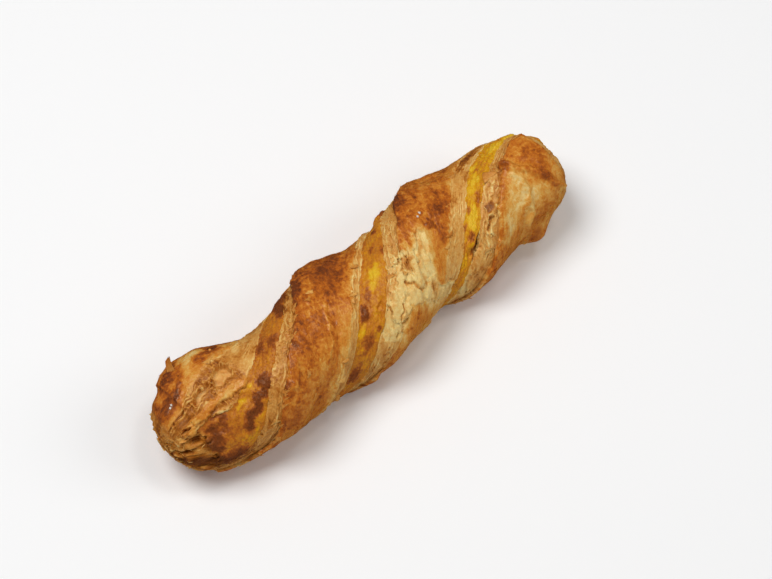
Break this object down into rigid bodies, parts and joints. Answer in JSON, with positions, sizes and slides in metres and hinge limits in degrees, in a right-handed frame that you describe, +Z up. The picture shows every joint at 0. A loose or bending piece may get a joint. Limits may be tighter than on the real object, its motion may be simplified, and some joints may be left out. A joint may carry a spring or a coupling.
{
  "type": "filled puff pastry stick",
  "caption": "Twisted puff pastry stick: sheets of flaky laminated dough with a yellow cheese filling between them, baked golden brown, lying flat.",
  "frame": {"origin": "under the middle of the stick's box, on the surface that it lies on", "axes": "+X along the stick, +Z up"},
  "size_m": [0.184, 0.0522, 0.0438],
  "materials": {
    "pastry": "baked crust, satin on the smooth skin and dull on the flaky layers",
    "filling": "melted and browned cheese, slightly greasy"
  },
  "bodies": {
    "root": {"pastry_sheet_one": "pastry", "pastry_sheet_two": "pastry", "filling": "filling"}
  },
  "joints": []
}
